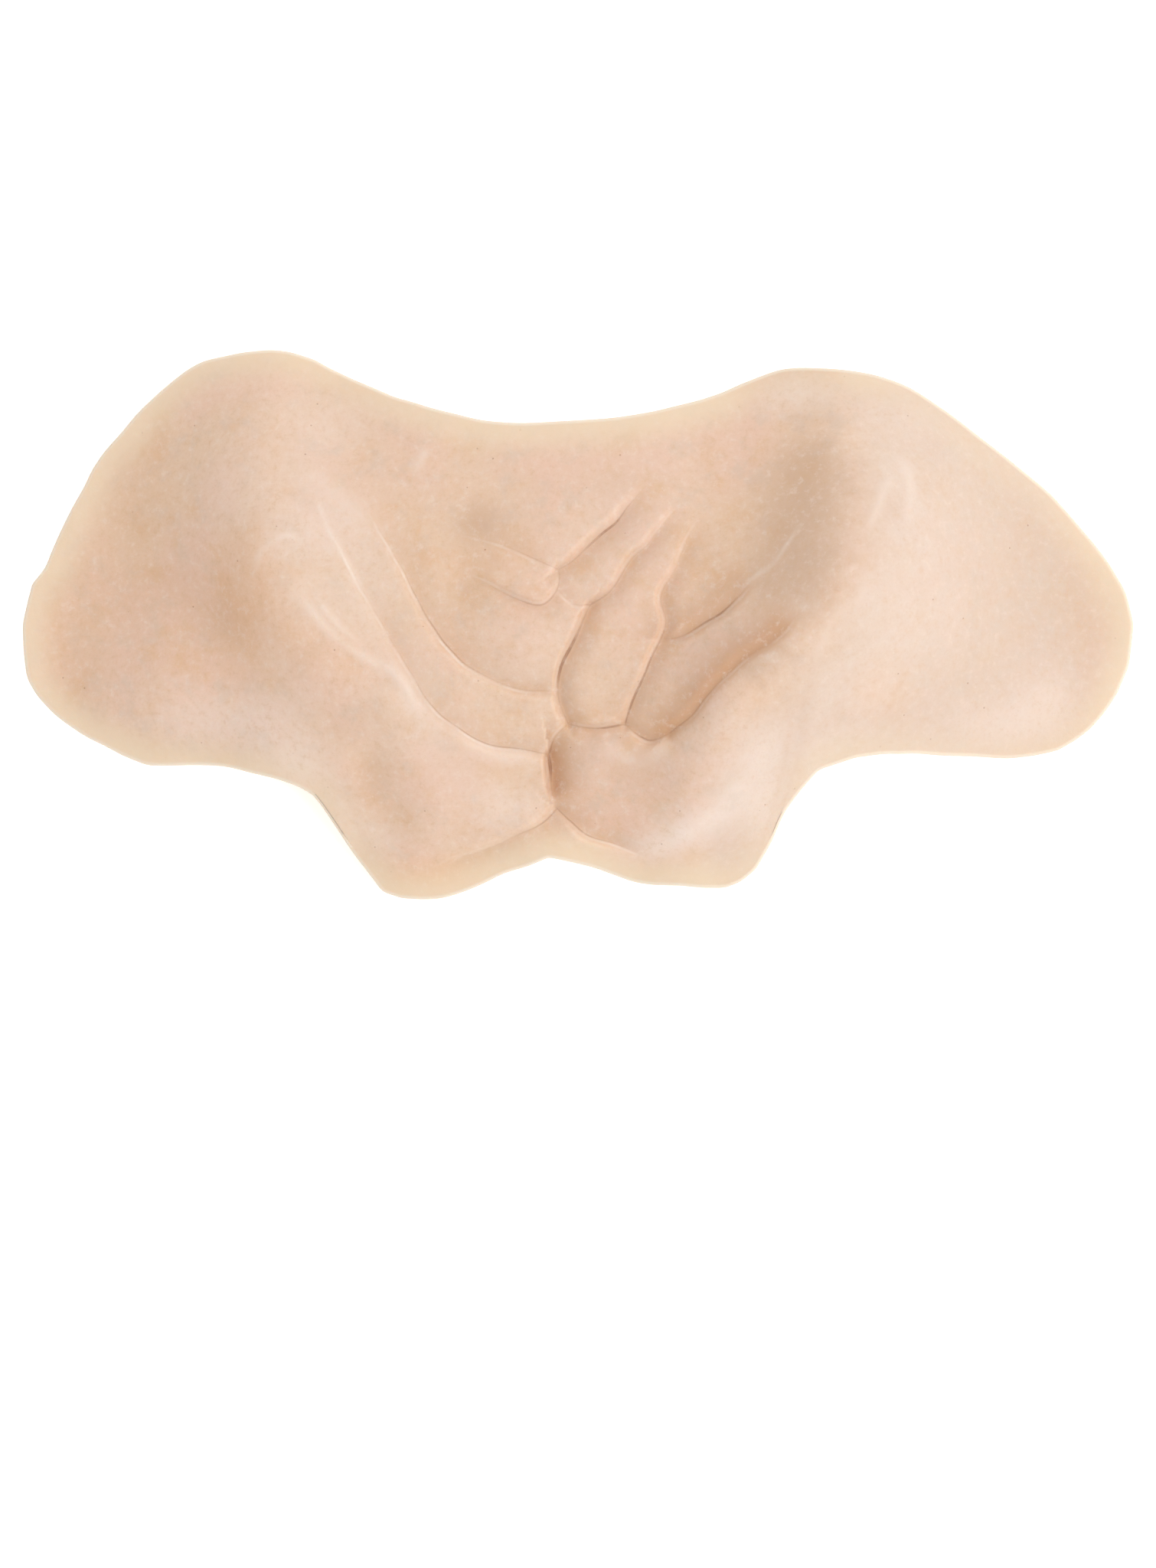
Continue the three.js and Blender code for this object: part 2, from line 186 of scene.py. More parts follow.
print("rows of the brows: %d, swellings: %d" % (len(LEFT_BROW + RIGHT_BROW), len(SWELLINGS)))

# %% [markdown]
# ## From rows to heights
#
# The arch is a plain formula. A brow is a chain of round swellings along its crest that overlap. If
# they were added up, the crest would grow where they crowd, so a blend is used that favours the
# largest of them. The other swellings and dents are simply added.

# %% Heights of the arch, the brows and the swellings
ARCH_HEIGHT = 18.0
ARCH_HALF_SPAN = 68.0
ARCH_POWER = 2.4
ARCH_FALL_UP = 0.0075
ARCH_FALL_DOWN = 0.0095
ARCH_SETTLE = 3.0
RIM_FLOOR = 0.8
BROW_BLEND = 6


def arch_height(x, y):
    """The broad arch, which settles on the table where it would go below it."""
    fall = np.where(y > 0, ARCH_FALL_UP, ARCH_FALL_DOWN) * y * y
    free = ARCH_HEIGHT * (1 - np.abs(x / ARCH_HALF_SPAN) ** ARCH_POWER) - fall
    return ARCH_SETTLE * np.logaddexp(0, (free - RIM_FLOOR) / ARCH_SETTLE) + RIM_FLOOR


def brow_height(rows, inner_side, x, y):
    """A brow as many overlapping swellings along its crest, blended so that they don't pile up."""
    crest = smooth_rows(rows)
    run = np.gradient(crest[:, :2], axis=0)
    step = np.hypot(run[:, 0], run[:, 1])
    total = np.zeros_like(x)
    for (cx, cy, height, inner, outer), (rx, ry), length in zip(crest, run / step[:, None], step):
        span = 0.5 * (inner + outer)
        along = ((x - cx) * rx + (y - cy) * ry) / span
        across = (y - cy) * rx - (x - cx) * ry
        width = np.where(across * inner_side > 0, inner, outer)
        share = length / (span * math.sqrt(math.pi / BROW_BLEND))
        total += share * (height * np.exp(-(across / width) ** 2 - along ** 2)) ** BROW_BLEND
    return total ** (1 / BROW_BLEND)


def soft_height(x, y):
    """Arch, brows and swellings, without any crease."""
    height = arch_height(x, y) + brow_height(LEFT_BROW, 1, x, y) + brow_height(RIGHT_BROW, -1, x, y)
    for cx, cy, rx, ry, bump in SWELLINGS:
        height += bump * np.exp(-((x - cx) / rx) ** 2 - ((y - cy) / ry) ** 2)
    return height


halfway = 0.5 * rim
print("highest place halfway in: %.1f mm" % soft_height(halfway[:, 0], halfway[:, 1]).max())

# %% [markdown]
# ## The frown folds
#
# The folds are pillows of latex pressed against each other, and a hairline crease runs where two
# of them meet. Beside a crease one pillow ends in a short round edge that catches powder and faces
# the light. It is painted pale, partly as powder and partly as a painted highlight, while the other
# side sinks towards the crease in a long slope. The table has a row for each crease, drawn so that
# the pale edge is on its left. The hairline itself is far finer than any sensible mesh, so every
# point also stores its distance to the nearest crease, and the finish draws the line from that.
# Creases that meet are kept on different layers, or their sides would mix.

# %% Table of the creases
# Columns: name, layer, depth, reach on the pale side, reach on the other side, lip that lifts the
# pale side, ends that run out, dark hairline, share of the way where it is darkest, pale edge of
# powder and painted highlight, warm painted shade on the other side, path.
FOLDS = [
    ("cleft", 0, 2.3, 0.9, 6.0, 0.1, "start", 1.0, 0.8, 0.3, 0.7,
     [(-3.0, -26.6), (-3.7, -23.0), (-4.2, -18.7)]),
    ("cleft top", 2, 0.8, 1.0, 3.0, 0.05, "", 0.5, 0.1, 0.3, 0.0,
     [(-4.2, -18.7), (-3.4, -16.6), (-1.4, -14.4)]),
    ("nose root left", 1, 0.8, 1.0, 4.0, 0.25, "start", 0.4, 0.9, 0.25, 0.2,
     [(-22.0, -35.8), (-10.5, -31.1), (-5.5, -28.9), (-3.0, -26.6)]),
    ("nose root right", 2, 0.9, 1.0, 5.0, 0.15, "start", 0.6, 0.8, 0.5, 0.3,
     [(11.0, -33.3), (2.2, -30.6), (-1.1, -28.2), (-3.0, -26.6)]),
    ("right pad top", 1, 0.8, 0.9, 2.6, 0.05, "", 0.8, 0.75, 0.2, 0.3,
     [(-1.4, -14.4), (2.5, -15.1), (6.6, -14.7)]),
    ("right brow edge", 2, 0.8, 3.6, 1.6, 0.1, "start", 0.3, 0.9, 0.3, 1.0,
     [(31.6, 1.7), (27.5, -2.7), (21.5, -7.1), (16.0, -13.2), (13.0, -15.8)]),
    ("right brow corner", 2, 0.7, 1.0, 2.4, 0.15, "", 0.5, 0.5, 0.3, 0.4,
     [(13.0, -15.8), (9.9, -16.7), (6.6, -14.7)]),
    ("middle fold left", 0, 1.3, 0.9, 3.6, 0.1, "", 1.0, 0.55, 0.2, 0.2,
     [(-1.4, -14.4), (-3.0, -9.8), (-1.2, -4.0), (1.9, 2.4)]),
    ("middle fold right", 0, 0.7, 0.9, 2.6, 0.12, "end", 0.7, 0.15, 0.25, 0.3,
     [(6.6, -14.7), (8.8, -8.8), (12.2, -1.0), (11.9, 3.4), (13.8, 7.8), (18.2, 16.6)]),
    ("upper fold bottom", 1, 1.0, 0.9, 3.2, 0.08, "end", 0.4, 0.1, 0.25, 0.15,
     [(1.9, 2.4), (5.0, 4.8), (7.8, 9.1), (10.2, 11.4), (15.4, 17.7)]),
    ("upper fold foot", 2, 0.5, 0.8, 2.4, 0.0, "", 0.25, 0.1, 0.5, 0.0,
     [(1.9, 2.4), (-0.5, 2.6), (-2.8, 4.4)]),
    ("upper fold top", 1, 1.1, 1.2, 3.6, 0.1, "end", 0.85, 0.5, 0.1, 0.2,
     [(-2.8, 7.2), (0.0, 9.1), (3.3, 12.2), (6.1, 14.9), (10.5, 20.4)]),
    ("knob bottom", 0, 0.6, 0.9, 3.0, 0.1, "start", 0.4, 0.7, 0.3, 0.1,
     [(-16.5, 6.7), (-10.5, 4.1), (-5.5, 2.1), (-2.8, 4.4), (-2.8, 7.2)]),
    ("knob top", 2, 0.3, 1.0, 2.2, 0.0, "end", 0.2, 0.2, 0.3, 0.1,
     [(-2.8, 7.2), (-6.1, 8.9), (-12.7, 11.6), (-17.1, 12.7)]),
    ("right side fold", 1, 0.5, 0.9, 1.8, 0.05, "start", 0.6, 0.5, 0.3, 0.6,
     [(25.5, 6.6), (22.4, 3.4), (19.3, 0.6), (14.3, -2.3), (12.2, -2.5)]),
    ("left fold top", 1, 0.75, 1.0, 5.0, 0.1, "end", 0.45, 0.5, 0.65, 0.15,
     [(-3.1, -10.1), (-11.6, -8.5), (-18.2, -3.8), (-22.6, 2.8), (-26.8, 11.1), (-30.3, 16.6)]),
    ("left brow edge", 1, 0.6, 1.2, 3.2, 0.1, "end", 0.35, 0.2, 0.5, 0.1,
     [(-4.2, -18.7), (-12.7, -17.2), (-19.3, -13.2), (-24.8, -5.5), (-30.3, 4.5), (-36.6, 15.5)]),
]
FOLD_LAYERS = 3
spans = [np.linalg.norm(np.diff(smooth_rows(row[-1]), axis=0), axis=1).sum() for row in FOLDS]
print("creases: %d, from %.0f to %.0f mm long" % (len(FOLDS), min(spans), max(spans)))

# %% [markdown]
# ## Thin ridges and pale lines
#
# The casting also has thin ridges, such as the lines along the left brow. They are painted pale,
# partly as powder caught on them and partly as a painted highlight. A ridge is drawn like a crease,
# but it rises. A row whose height is nothing is only a pale line of powder and painted highlight.

# %% Table of the ridges
# Columns: name, height, half width, pale powder and painted highlight, path.
RIDGES = [
    ("left brow ridge", 0.15, 0.75, 0.33,
     [(-42.0, 6.4), (-36.4, 0.0), (-31.4, -4.4), (-26.0, -7.1), (-23.1, -11.5), (-21.8, -15.5)]),
    ("left brow second ridge", 0.1, 0.45, 0.4,
     [(-37.6, 4.0), (-33.8, -0.6), (-30.2, -4.0)]),
    ("left brow end", 0.06, 0.4, 0.35,
     [(-46.0, 6.5), (-45.2, 9.6), (-43.0, 11.4), (-40.8, 12.1), (-38.6, 11.2)]),
    ("left brow edge end", 0.05, 0.35, 0.35,
     [(-37.2, 20.0), (-36.3, 15.4), (-34.4, 11.0), (-31.8, 7.0), (-29.6, 3.2)]),
    ("left brow streak", 0.05, 1.8, 0.22,
     [(-41.0, 23.0), (-35.8, 19.3), (-31.4, 15.5), (-27.0, 11.0)]),
    ("left nick", 0.1, 0.8, 0.3, [(-21.3, 25.0), (-23.9, 20.6)]),
    ("left pad powder", 0.0, 1.2, 0.3,
     [(-18.0, -15.4), (-11.6, -18.7), (-5.0, -20.0)]),
    ("right pad powder", 0.0, 1.2, 0.25,
     [(4.0, -15.9), (5.5, -19.0), (9.5, -19.6), (14.0, -17.0)]),
    ("right lobe powder", 0.0, 2.0, 0.35,
     [(11.5, -30.6), (16.0, -29.7), (20.4, -26.9), (25.0, -22.0)]),
    ("right horn line", 0.15, 0.6, 0.22,
     [(45.6, 20.6), (43.2, 18.8), (42.2, 16.3), (40.6, 12.0)]),
    ("right horn side line", 0.15, 0.8, 0.2,
     [(44.5, 24.0), (46.6, 21.0), (47.0, 17.7), (45.9, 12.0)]),
    ("right side line", 0.06, 0.3, 0.25,
     [(32.4, 15.2), (28.0, 8.9), (25.3, 6.6), (21.8, 3.2)]),
    ("right crest line", 0.06, 0.8, 0.15,
     [(41.4, 8.0), (39.7, 2.8), (35.8, 0.3), (34.3, -3.5), (32.0, -7.0)]),
]
print("ridges and powder lines:", len(RIDGES))

# %% [markdown]
# ## Where is the nearest crease
#
# Every crease needs the same measures at each point of the skin: how far away the path is, on which
# side, and how far along. The points are first moved a little by slow waves, because a line that
# was pressed by hand is never quite even.

# %% Distance to a path
FADE_SHARE = 0.5
WOBBLE = 0.12
# Columns: strength, waves in x, waves in y, start of the wave.
WAVES_IN_X = [(1.0, 0.45, 0.65, 0.0), (0.35, -0.85, 1.15, 1.0)]
WAVES_IN_Y = [(1.0, 0.55, -0.4, 2.0), (0.35, 0.95, 1.05, 0.5)]


def ease(low, high, value):
    """Eases from 0 to 1 while value goes from low to high."""
    t = np.clip((value - low) / (high - low), 0, 1)
    return t * t * (3 - 2 * t)


def nearest(path, x, y):
    """Distance to a path, plus on its left, with the share of the way and how far past an end."""
    best = np.full(x.shape, np.inf)
    side = np.ones_like(x)
    way = np.zeros_like(x)
    past = np.zeros_like(x)
    done = 0.0
    last = len(path) - 2
    for i, ((ax, ay), (bx, by)) in enumerate(zip(path[:-1], path[1:])):
        dx, dy = bx - ax, by - ay
        length = math.hypot(dx, dy)
        free = ((x - ax) * dx + (y - ay) * dy) / length ** 2
        t = np.clip(free, 0, 1)
        distance = np.hypot(x - ax - t * dx, y - ay - t * dy)
        before = np.where((i == 0) & (free < 0), -free, 0)
        after = np.where((i == last) & (free > 1), free - 1, 0)
        closer = distance < best
        best = np.where(closer, distance, best)
        side = np.where(closer, np.where(dx * (y - ay) - dy * (x - ax) < 0, -1.0, 1.0), side)
        way = np.where(closer, done + t * length, way)
        past = np.where(closer, (before + after) * length, past)
        done += length
    return best * side, way / done, past


def sway(waves, x, y):
    """A sum of slow waves over the piece."""
    return sum(size * np.sin(in_x * x + in_y * y + start) for size, in_x, in_y, start in waves)


def wobbled(x, y):
    """Moves places a little, so that creases run as unevenly as ones pressed by hand."""
    return x + WOBBLE * sway(WAVES_IN_X, x, y), y + WOBBLE * sway(WAVES_IN_Y, x, y)


def fade_along(share, runs_out, length=FADE_SHARE):
    """Full strength, or a fade towards the ends that run out."""
    start = ease(0, length, share) if "start" in runs_out else 1.0
    end = ease(0, length, 1 - share) if "end" in runs_out else 1.0
    return start * end


print("a crease sways by up to %.2f mm" % (WOBBLE * sum(row[0] for row in WAVES_IN_X)))

# %% [markdown]
# ## Creases and ridges as relief
#
# A crease sinks towards its path with a rounded bottom, because a sharp one would show the steps of
# the mesh. Its lip lifts the pale side. Where creases meet, the deeper one wins by a blend, so a
# junction doesn't become a hole. The same pass works out what the finish needs: the distance, the
# dark line and the pale edge for each layer, the powder and painted highlight of the ridges, and a
# warm painted shade on the low side of a crease, where shade falls.

# %% Sum the creases and ridges
FOLD_BLEND = 3
LIP_REACH = 7.0
LIP_SHARPNESS = 0.45
LIP_FADE = 0.25
LINE_FADE = 0.2
END_FADE = 0.5
DARK_REST = 0.2
DARK_SPREAD = 0.22
WARM_REACH = 3.6
WARM_EDGE = 0.8
CREASE_ROUND = 0.3
FAR_AWAY = 9.0


def fold_relief(x, y):
    """The height that creases and ridges add, the crease layers, powder and highlight, painted
    shade.
    """
    x, y = wobbled(x, y)
    depth, raised, powder, warm = (np.zeros_like(x) for _ in range(4))
    layers = [[np.full(x.shape, FAR_AWAY), np.zeros_like(x), np.zeros_like(x)]
              for _ in range(FOLD_LAYERS)]
    for _, layer, deep, near, far, lip, runs_out, dark, peak, pale, shade, path in FOLDS:
        distance, share, past = nearest(smooth_rows(path), x, y)
        fade = fade_along(share, runs_out)
        gap = np.abs(distance)
        reach = np.where(distance > 0, near, far)
        sunk = np.hypot(gap, CREASE_ROUND) - CREASE_ROUND
        depth += (deep * fade * np.clip(1 - sunk / reach, 0, 1) ** 2) ** FOLD_BLEND
        middle = ease(0, LIP_FADE, share) * ease(0, LIP_FADE, 1 - share)
        shelf = np.clip(1 - gap / LIP_REACH, 0, 1) ** 2
        raised += lip * middle * (1 + np.tanh(distance / LIP_SHARPNESS)) * shelf
        whole = 1 - ease(0, END_FADE, past)
        edge = pale * whole * fade_along(share, "start end", LINE_FADE)
        bulk = DARK_REST + (1 - DARK_REST) * np.exp(-((share - peak) / DARK_SPREAD) ** 2)
        closer = gap < np.abs(layers[layer][0])
        for k, value in enumerate((distance, dark * bulk * whole * fade, edge)):
            layers[layer][k] = np.where(closer, value, layers[layer][k])
        # Warm painted shade on the low side of the crease, narrow on its pale side.
        lean = np.exp(-(gap / np.where(distance > 0, WARM_EDGE, WARM_REACH)) ** 2)
        warm = np.maximum(warm, shade * lean * fade_along(share, runs_out, LINE_FADE))
    for _, height, width, pale, path in RIDGES:
        distance, share, _ = nearest(smooth_rows(path), x, y)
        crest = np.exp(-(distance / width) ** 2) * fade_along(share, "start end", LIP_FADE)
        raised += height * crest
        # Pale powder and painted highlight along the ridge.
        powder = np.maximum(powder, pale * crest)
    return raised - depth ** (1 / FOLD_BLEND), layers, powder, warm


cleft_x, cleft_y = FOLDS[0][-1][1]
cleft_relief = fold_relief(np.array([cleft_x]), np.array([cleft_y]))[0][0]
print("relief in the cleft: %.1f mm" % cleft_relief)

# %% [markdown]
# ## The skin as a net
#
# A plain grid would leave a staircase at the rim. A net stretched between the four sides of the
# rim follows it exactly, and its columns crowd in the middle, where the folds need the most
# faces. The front uses the whole net and the back every second place of it. Between them, a few
# rows roll over the rim, because cut latex has a soft edge and no sharp corner.

# %% Stretch the net between the four sides
COLUMNS = 368
ROWS = 168
CROWDING = 0.35
SIDE_HOLD = 3
ROLL = 0.5
ROLL_ROWS = 5


def inward(curve):
    """A closed curve moved inwards by the roll of the rim. The rim runs clockwise."""
    run = np.roll(curve, -1, axis=0) - np.roll(curve, 1, axis=0)
    run /= np.linalg.norm(run, axis=1)[:, None]
    return curve + ROLL * np.stack([run[:, 1], -run[:, 0]], axis=1)


def rim_side(curve, side):
    """The stretch of a closed curve that belongs to one of the four sides."""
    start = sum(len(rows) for rows in RIM_SIDES[:side]) * STEPS_PER_SPAN
    count = len(RIM_SIDES[side]) * STEPS_PER_SPAN
    return curve[np.arange(start, start + count + 1) % len(curve)]


def places_on(points, shares, weights):
    """Places along a line of points, by share of its width or of its length."""
    steps = np.abs(np.diff(points, axis=0)) * weights
    marks = np.concatenate([[0], np.cumsum(np.hypot(steps[:, 0], steps[:, 1]))])
    return np.stack([np.interp(shares * marks[-1], marks, points[:, n]) for n in range(2)], axis=1)


edge = inward(rim)
top, right, bottom, left = (rim_side(edge, side) for side in range(4))
u = np.linspace(0, 1, COLUMNS + 1)
across = u + CROWDING * np.sin(2 * math.pi * u) / (2 * math.pi)
up = np.linspace(0, 1, ROWS + 1)
by_width, by_length = np.array([1, 0]), np.array([1, 1])
top_line = places_on(top, across, by_width)[None]
bottom_line = places_on(bottom[::-1], across, by_width)[None]
left_line = places_on(left, up, by_length)[:, None]
right_line = places_on(right[::-1], up, by_length)[:, None]
a = across[None, :, None]
v = up[:, None, None]
left_bulge = left_line - (1 - v) * left_line[:1] - v * left_line[-1:]
right_bulge = right_line - (1 - v) * right_line[:1] - v * right_line[-1:]
net = (1 - v) * bottom_line + v * top_line
net += (1 - a) ** SIDE_HOLD * left_bulge + a ** SIDE_HOLD * right_bulge
east, north = np.diff(net[:-1], axis=1), np.diff(net[:, :-1], axis=0)
cells = east[..., 0] * north[..., 1] - east[..., 1] * north[..., 0]
print("net: %d cells, smallest %.3f mm2" % (cells.size, cells.min()))

# %% [markdown]
# ## Heights of the front and the back
#
# The back of a cast skin follows its front at one wall's distance, with the folds half as deep,
# because liquid latex fills the narrow creases. The wall thins towards the rim. The wings' ends lie
# flat on the table, so the back never goes below it.

# %% Front, back and the values that the finish needs
WALL = 2.4
RIM_WALL = 1.2
FEATHER = 9.0
INNER_FOLDS = 0.5
SLOPE_REACH = 0.5


def front_height(x, y, fold_share):
    """The front of the casting with a share of its creases."""
    relief, *values = fold_relief(x, y)
    return np.maximum(soft_height(x, y) + fold_share * relief, RIM_FLOOR), *values


def rim_distance(x, y):
    """How far a place lies from the trimmed rim."""
    return np.abs(nearest(np.vstack([rim, rim[:1]]), x, y)[0])


def back_height(x, y):
    """The back of the casting, one wall below the front and square to it."""
    middle = front_height(x, y, INNER_FOLDS)[0]
    slope_x = (front_height(x + SLOPE_REACH, y, INNER_FOLDS)[0] - middle) / SLOPE_REACH
    slope_y = (front_height(x, y + SLOPE_REACH, INNER_FOLDS)[0] - middle) / SLOPE_REACH
    wall = RIM_WALL + (WALL - RIM_WALL) * ease(0, FEATHER, rim_distance(x, y))
    return np.maximum(middle - wall * np.sqrt(1 + slope_x ** 2 + slope_y ** 2), 0)


front_x, front_y = net[..., 0], net[..., 1]
front_z, fold_layers, ridge_powder_and_highlight, fold_painted_shade = front_height(front_x, front_y, 1.0)
front_rim = rim_distance(front_x, front_y)
back_x, back_y = front_x[::2, ::2], front_y[::2, ::2]
back_z = back_height(back_x, back_y)
print("front from %.1f to %.1f mm above the table" % (front_z.min(), front_z.max()))

# %% [markdown]
# ## One closed mesh
#
# The skins and the rolled rim are joined into one closed body, so it has no open seam that light
# could leak through. The front's ring has twice as many points as the back's, so the last row of
# the rim is closed with triangles.

# %% Join front, rim and back
def ring_of(grid):
    """The outer ring of a grid of point numbers, anticlockwise from its lower left corner."""
    return np.concatenate([grid[0, :-1], grid[:-1, -1], grid[-1, :0:-1], grid[:0:-1, 0]])


def quads_of(grid):
    """Faces between neighbouring points of a grid, facing up."""
    corners = (grid[:-1, :-1], grid[:-1, 1:], grid[1:, 1:], grid[1:, :-1])
    return np.stack([corner.ravel() for corner in corners], axis=1)


front_grid = np.arange(front_x.size).reshape(front_x.shape)
back_grid = front_x.size + np.arange(back_x.size).reshape(back_x.shape)
front_ring, back_ring = ring_of(front_grid), ring_of(back_grid)
points = np.vstack([
    np.stack([front_x.ravel(), front_y.ravel(), front_z.ravel()], axis=1),
    np.stack([back_x.ravel(), back_y.ravel(), back_z.ravel()], axis=1),
])
ring = points[front_ring]
run = np.roll(ring, -1, axis=0)[:, :2] - np.roll(ring, 1, axis=0)[:, :2]
outward = np.stack([run[:, 1], -run[:, 0]], axis=1) / np.linalg.norm(run, axis=1)[:, None]
low = np.empty(len(ring))
low[::2] = points[back_ring, 2]
low[1::2] = 0.5 * (low[::2] + np.roll(low[::2], -1))
roll_rows = [front_ring]
for k in range(1, ROLL_ROWS + 1):
    turn = math.pi * k / (ROLL_ROWS + 1)
    place = ring.copy()
    place[:, :2] += ROLL * math.sin(turn) * outward
    place[:, 2] = 0.5 * (ring[:, 2] + low) + 0.5 * (ring[:, 2] - low) * math.cos(turn)
    roll_rows.append(len(points) + np.arange(len(ring)))
    points = np.vstack([points, place])
faces = quads_of(front_grid).tolist() + quads_of(back_grid)[:, ::-1].tolist()
for upper, lower in zip(roll_rows[:-1], roll_rows[1:]):
    step = [upper, lower, np.roll(lower, -1), np.roll(upper, -1)]
    faces += np.stack(step, axis=1).tolist()
last_row = roll_rows[-1]
for i, here in enumerate(back_ring.tolist()):
    there = int(back_ring[(i + 1) % len(back_ring)])
    first, second, third = (int(last_row[(2 * i + k) % len(last_row)]) for k in range(3))
    faces += [[here, second, first], [here, there, second], [there, third, second]]

skin_mesh = bpy.data.meshes.new("latex_forehead")
skin_mesh.from_pydata((points * MM).tolist(), [], faces)
skin_mesh.shade_smooth()
skin = bpy.data.objects.new("latex_forehead", skin_mesh)
bpy.context.collection.objects.link(skin)
triangles = sum(len(face) - 2 for face in faces)
print("skin: %d points, %d triangles" % (len(points), triangles))

# %% [markdown]
# ## Patches of painted shade and painted light
#
# Besides the paint all over, soft round patches are laid on: brown painted shade in the lee of the
# brows and in other places where shade falls, a warm orange glaze on the temple side of the left
# brow and on some folds, and pale patches, partly powder and partly painted light, on what stands
# out. A patch needs only its middle, its two radii and its strength.

# %% Lay the patches of painted shade and light
# Columns: x, y, radius in x, radius in y, brown painted shade, or pale powder and painted light
# where it is below 0.
PAINTED_SHADE_AND_LIGHT_PATCHES = [
    (31.0, 16.5, 7.5, 9.0, 0.55),
    (29.5, 4.5, 7.0, 7.0, 0.6),
    (25.5, -6.5, 4.0, 4.0, 0.4),
    (36.5, 11.0, 3.5, 6.0, 0.2),
    (34.0, 1.5, 4.0, 4.5, 0.2),
    (29.0, -4.5, 4.0, 3.5, 0.2),
    (45.0, 9.0, 8.0, 12.0, 0.25),
    (40.0, 20.0, 4.0, 5.0, 0.2),
    (33.0, 25.0, 5.0, 6.0, 0.3),
    (5.0, 19.5, 10.0, 3.5, 0.3),
    (-15.0, 14.0, 5.0, 4.0, 0.55),
    (-12.0, 8.0, 7.0, 3.0, 0.2),
    (-18.0, 3.3, 3.0, 4.0, 0.3),
    (-26.5, -7.0, 3.0, 3.0, 0.3),
    (-49.5, 0.0, 4.0, 6.0, 0.3),
    (8.0, -20.3, 5.0, 3.0, 0.35),
    (33.0, 33.0, 8.0, 5.0, -0.35),
    (29.5, 31.5, 7.0, 5.0, -0.35),
    (-36.0, 29.0, 9.0, 7.0, -0.4),
    (-41.0, 11.5, 5.0, 7.0, -0.3),
    (-34.0, 13.0, 5.0, 6.0, -0.35),
    (-29.0, 4.5, 5.0, 8.0, -0.37),
    (-9.0, -7.5, 9.0, 2.4, -0.35),
    (-3.2, 8.5, 2.5, 2.5, -0.4),
    (-11.8, -15.3, 5.0, 2.5, -0.25),
    (-10.0, -22.8, 5.0, 3.0, -0.25),
    (-50.0, -14.0, 12.0, 5.0, -0.5),
    (-38.5, -20.5, 6.0, 4.0, -0.5),
    (-33.0, -28.0, 3.5, 5.0, -0.45),
    (-28.0, -31.0, 4.0, 4.0, -0.4),
    (-11.0, -27.0, 6.0, 3.5, -0.4),
    (9.5, -31.8, 6.0, 2.5, -0.6),
    (15.5, -29.0, 5.0, 4.0, -0.4),
    (26.5, -26.5, 4.0, 6.0, -0.5),
    (27.0, -18.0, 7.0, 6.0, -0.5),
    (51.5, 1.5, 5.0, 7.0, -0.3),
    (45.0, 28.0, 7.0, 4.0, -0.3),
    (62.0, -14.5, 11.0, 5.0, -0.5),
    (68.0, -10.0, 5.0, 5.0, -0.3),
]
# Columns: x, y, radius in x, radius in y, orange glaze.
GLAZE = [
    (-48.5, 11.0, 4.0, 4.0, 0.3),
    (-46.5, 3.0, 4.5, 7.5, 0.85),
    (-39.0, -4.0, 6.0, 4.5, 0.45),
    (-32.5, -7.5, 4.0, 3.0, 0.2),
    (-19.0, -37.0, 9.0, 3.0, 0.65),
    (0.0, -33.5, 8.0, 3.0, 0.3),
    (-12.0, 8.0, 7.0, 3.0, 0.35),
    (23.5, -9.5, 4.0, 3.0, 0.3),
    (32.0, 2.5, 5.5, 5.0, 0.45),
    (37.0, 13.0, 4.0, 6.0, 0.25),
    (42.0, -10.0, 5.0, 4.0, 0.25),
]


def patch_strength(rows):
    """The strength of soft round patches at each place of the front."""
    total = np.zeros_like(front_x)
    for cx, cy, rx, ry, strength in rows:
        total += strength * np.exp(-((front_x - cx) / rx) ** 2 - ((front_y - cy) / ry) ** 2)
    return total


painted_shade_and_light, glaze = patch_strength(PAINTED_SHADE_AND_LIGHT_PATCHES), patch_strength(GLAZE)
print("airbrush from %.2f to %.2f" % (painted_shade_and_light.min(), painted_shade_and_light.max()))

# %% [markdown]
# ## What each point knows
#
# A finish that follows the folds needs to know where they are. Each point stores a few numbers as
# attributes: whether it is on the front, its distance to the rim, how much it leans to the right,
# how hollow the ground is, the powder and painted highlight of the ridges, the warm painted shade
# beside the creases, the patches of painted shade and light, and the crease values of the three
# layers. They travel with the mesh, so the look doesn't depend on where the camera stands.

# %% Store the attributes
HOLLOW_REACH = 4
BROAD_REACH = 22
TILT_REACH = 1.5


def spread(grid, reach):
    """Mean over a square of places, done along one direction and then along the other."""
    for axis in (0, 1):
        pad = [(reach + 1, reach) if n == axis else (0, 0) for n in (0, 1)]
        total = np.cumsum(np.pad(grid, pad, mode="edge"), axis=axis)
        size = grid.shape[axis]
        width = 2 * reach + 1
        ahead = np.take(total, np.arange(width, width + size), axis=axis)
        grid = (ahead - np.take(total, np.arange(size), axis=axis)) / width
    return grid


def keep(name, front, back, rim_value):
    """Stores one number for each point of the front, the back and the rolled rim, in that order."""
    rest = len(points) - front.size - back_x.size
    values = np.concatenate([front.ravel(), np.full(back_x.size, back), np.full(rest, rim_value)])
    layer = skin_mesh.attributes.new(name, "FLOAT", "POINT")
    layer.data.foreach_set("value", values.astype(np.float32))


